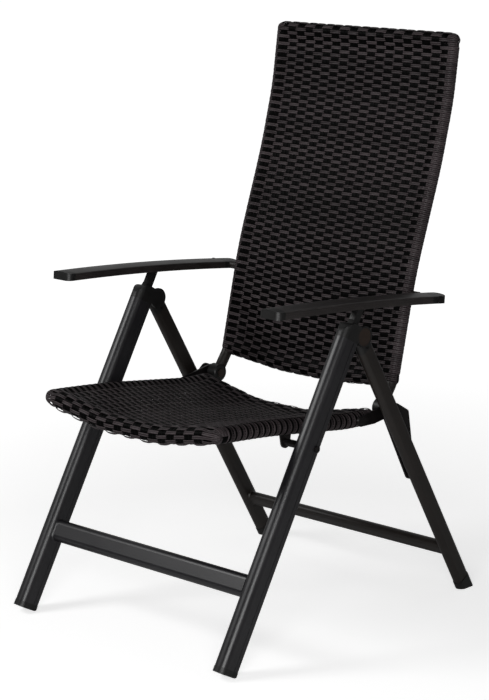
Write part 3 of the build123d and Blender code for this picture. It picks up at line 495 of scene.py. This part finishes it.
def smooth_finish(name, low, high, cloud_mm, roughness, fine_mm, bump_mm, metallic=0.0,
                  specular=0.5):
    """Surface whose colour and roughness drift between two values in clouds of a size in mm,
    over a fine relief of another size."""
    material, tree = blank_material(name)
    spot = add(tree, "ShaderNodeTexCoord").outputs["Object"]
    cloud = add(tree, "ShaderNodeTexNoise", {
        "Vector": spot, "Scale": 1000 / cloud_mm, "Detail": 4.0,
    }).outputs["Fac"]
    rough = add(tree, "ShaderNodeMapRange", {
        "Value": cloud, "From Min": CLOUD_ENDS[0], "From Max": CLOUD_ENDS[1],
        "To Min": roughness[0], "To Max": roughness[1],
    })
    fine = add(tree, "ShaderNodeTexNoise", {
        "Vector": spot, "Scale": 1000 / fine_mm, "Detail": 2.0,
    })
    relief = add(tree, "ShaderNodeBump", {"Height": fine.outputs["Fac"], "Distance": bump_mm * MM})
    shade = add(tree, "ShaderNodeBsdfPrincipled", {
        "Base Color": two_tone(tree, cloud, low, high), "Roughness": rough.outputs["Result"],
        "Metallic": metallic, "Specular IOR Level": specular, "Normal": relief.outputs["Normal"],
    })
    add(tree, "ShaderNodeOutputMaterial", {"Surface": shade.outputs["BSDF"]})
    return material


def strand_finish(name, low, high, roughness, groove_mm, specular=0.5):
    """Extruded plastic strand: fine grooves run along it, and its tone varies by strand."""
    material, tree = blank_material(name)
    place = add(tree, "ShaderNodeUVMap", uv_map="strand").outputs["UV"]
    across = add(tree, "ShaderNodeSeparateXYZ", {"Vector": place}).outputs["Y"]
    groove = add(tree, "ShaderNodeMath", {
        0: across, 1: 2 * math.pi / (GROOVE_PITCH * MM),
    }, operation="MULTIPLY")
    groove = add(tree, "ShaderNodeMath", {0: groove.outputs[0]}, operation="COSINE")
    spot = add(tree, "ShaderNodeTexCoord").outputs["Object"]
    cloud = add(tree, "ShaderNodeTexNoise", {
        "Vector": spot, "Scale": 1000 / STRAND_CLOUD, "Detail": 3.0,
    })
    tone = add(tree, "ShaderNodeAttribute", attribute_name="tone")
    mixed = add(tree, "ShaderNodeMath", {
        0: cloud.outputs["Fac"], 1: CLOUD_SHARE, 2: tone.outputs["Fac"],
    }, operation="MULTIPLY_ADD").outputs[0]
    # painted shade: the colour is darkest at the bottom of a groove
    mixed = add(tree, "ShaderNodeMath", {
        0: groove.outputs[0], 1: -GROOVE_SHADE, 2: mixed,
    }, operation="MULTIPLY_ADD").outputs[0]
    relief = add(tree, "ShaderNodeBump", {
        "Height": groove.outputs[0], "Distance": groove_mm * MM,
    }, invert=True)
    shade = add(tree, "ShaderNodeBsdfPrincipled", {
        "Base Color": two_tone(tree, mixed, low, high, 0.0, 1.0),
        "Roughness": roughness, "Specular IOR Level": specular,
        "Normal": relief.outputs["Normal"],
    })
    add(tree, "ShaderNodeOutputMaterial", {"Surface": shade.outputs["BSDF"]})
    return material


# Powder coat on aluminium: near black with a soft broad gloss and a faint orange-peel skin
front_coat = smooth_finish(
    "anthracite_powder_coat", "#161518", "#1d1c1f", 90.0, (0.33, 0.39), 1.2, 0.012, specular=0.65)
# The rear legs and the tubes are the same coat, browner and a little duller
rear_coat = smooth_finish(
    "brown_grey_powder_coat", "#1a1614", "#221d1a", 90.0, (0.40, 0.46), 1.2, 0.012)
# The armrests' coat is glossier, so their flat tops catch the pale backdrop
armrest_coat = smooth_finish(
    "armrest_powder_coat", "#1c1817", "#25201f", 60.0, (0.40, 0.48), 1.0, 0.012, specular=0.75)
# Moulded nylon joints and feet: dull black with a fine spark-eroded grain
black_nylon = smooth_finish(
    "black_moulded_nylon", "#0d0d0d", "#161515", 20.0, (0.42, 0.50), 0.5, 0.02)
# Brown covers and bolt heads: the only warm spots on the chair
brown_cover = smooth_finish(
    "brown_moulded_cover", "#221812", "#2c2019", 12.0, (0.38, 0.46), 0.5, 0.015)
# Blackened steel of pins, plates and brackets: darker, with a thin metallic gleam
black_steel = smooth_finish(
    "blackened_steel", "#1f1d1d", "#2b2828", 15.0, (0.34, 0.44), 0.4, 0.008, 0.7)
# Rows show a satin gloss on each float. The uprights' near-black colour and near-nil gloss are
# painted shade, standing for the shade they lie in between the rows
row_strand = strand_finish("dark_row_strand", "#0d0b0c", "#4c4446", 0.42, 0.2, 0.18)
uprights_in_painted_shade = strand_finish("uprights_painted_shade", "#020202", "#050505", 0.45, 0.05, 0.04)

for piece in back_pieces + seat_pieces:
    piece.data.materials.append(row_strand if "_rows_" in piece.name else uprights_in_painted_shade)

finishes = {
    "front_leg_": front_coat, "front_crossbar": front_coat, "rear_leg_left": rear_coat,
    "rear_leg_right": rear_coat, "rear_crossbar": rear_coat, "seat_frame": rear_coat,
    "back_frame": rear_coat, "armrest_bosses": rear_coat,
    "armrest_left": armrest_coat, "armrest_right": armrest_coat,
    "leg_pivot_caps": brown_cover, "hub_bolts": brown_cover,
    "front_foot_": black_nylon, "rear_foot_": black_nylon, "leg_joint_": black_nylon,
    "rear_joint_": black_nylon, "back_hub_": black_nylon, "armrest_front_cap_": black_nylon,
    "armrest_rear_cap_": black_nylon, "armrest_rack_": black_nylon,
}
for name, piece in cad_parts.items():
    found = [finish for start, finish in finishes.items() if name.startswith(start)]
    piece.data.materials.clear()
    piece.data.materials.append(found[0] if found else black_steel)


# Floor, light and camera

bpy.ops.mesh.primitive_plane_add(size=FLOOR_SIZE)
floor = bpy.context.object
floor.name = "floor"
paper, tree = blank_material("white_floor")
# The camera sees the floor lifted to white, wholly so away from the chair; other rays don't
spot = add(tree, "ShaderNodeTexCoord").outputs["Object"]
away = add(tree, "ShaderNodeVectorMath", {0: spot}, operation="LENGTH").outputs["Value"]
lift = add(tree, "ShaderNodeMapRange", {
    "Value": away, "From Min": LIFT_RUN[0], "From Max": LIFT_RUN[1],
    "To Min": FLOOR_LIFT, "To Max": 1.0,
})
matt = add(tree, "ShaderNodeBsdfDiffuse", {"Color": (0.88, 0.88, 0.88, 1.0)}).outputs[0]
glow = add(tree, "ShaderNodeEmission", {"Strength": lift.outputs["Result"]}).outputs[0]
seen = add(tree, "ShaderNodeLightPath").outputs["Is Camera Ray"]
both = add(tree, "ShaderNodeAddShader", {0: matt, 1: glow}).outputs[0]
shown = add(tree, "ShaderNodeMixShader", {0: seen, 1: matt, 2: both}).outputs[0]
add(tree, "ShaderNodeOutputMaterial", {"Surface": shown})
floor.data.materials.append(paper)

world = bpy.data.worlds.new("studio")
bpy.context.scene.world = world
world.use_nodes = True
tree = world.node_tree
tree.nodes.clear()
# The camera sees white all round. Gloss sees only the white backdrop behind the chair: the
# photograph's coat mirrors something pale at a glancing angle, and darkness elsewhere.
ray = add(tree, "ShaderNodeLightPath").outputs
heading = add(tree, "ShaderNodeTexCoord").outputs["Generated"]
behind = add(tree, "ShaderNodeVectorMath", {
    0: heading, 1: BACKDROP_SIDE,
}, operation="DOT_PRODUCT").outputs["Value"]
backdrop = add(tree, "ShaderNodeMapRange", {
    "Value": behind, "From Min": BACKDROP_EDGE[0], "From Max": BACKDROP_EDGE[1],
    "To Min": 0.0, "To Max": BACKDROP_GLOSS,
}).outputs["Result"]
seen = add(tree, "ShaderNodeMath", {
    0: backdrop, 1: ray["Is Glossy Ray"], 2: ray["Is Camera Ray"],
}, operation="MULTIPLY_ADD").outputs[0]
level = add(tree, "ShaderNodeMapRange", {"Value": seen, "To Min": ROOM_LIGHT, "To Max": 1.0})
sky = add(tree, "ShaderNodeBackground", {
    "Color": (1, 1, 1, 1), "Strength": level.outputs["Result"],
})
add(tree, "ShaderNodeOutputWorld", {"Surface": sky.outputs[0]})


def softbox(name, place, aim, size, power):
    """Square area lamp at a place, turned to an aim."""
    lamp = bpy.data.lights.new(name, "AREA")
    lamp.size = size
    lamp.energy = power
    box = bpy.data.objects.new(name, lamp)
    box.location = place
    box.rotation_euler = (Vector(aim) - Vector(place)).to_track_quat("-Z", "Y").to_euler()
    bpy.context.scene.collection.objects.link(box)


softbox("front_left_softbox", (-1.65, -2.0, 2.3), (0, 0, 0.6), 1.1, 28)
softbox("front_right_softbox", (2.2, -2.7, 1.05), (0, 0, 0.5), 1.8, 68)
softbox("right_softbox", (2.9, 0.6, 1.4), (0, 0, 0.5), 1.2, 2)
softbox("rear_softbox", (0.2, 1.6, 2.6), (0, 0, 0.5), 1.6, 2)

camera_data = bpy.data.cameras.new("camera")
camera_data.sensor_fit = "VERTICAL"
camera_data.sensor_height = 24.0
camera_data.lens = 78.2004
camera_data.shift_x = 0.01874
camera_data.shift_y = 0.14884
camera = bpy.data.objects.new("camera", camera_data)
# Fitted to the photograph: the camera's right, up and backward directions, and its place
right = (0.72269, 0.69113, -0.00763)
up = (-0.17809, 0.19686, 0.96412)
back = (0.66783, -0.69541, 0.26535)
turned = Matrix([right, up, back]).transposed().to_4x4()
camera.matrix_world = Matrix.Translation((2.94077, -3.10515, 1.47317)) @ turned
bpy.context.scene.collection.objects.link(camera)
bpy.context.scene.camera = camera
bpy.context.scene.view_settings.view_transform = "Standard"
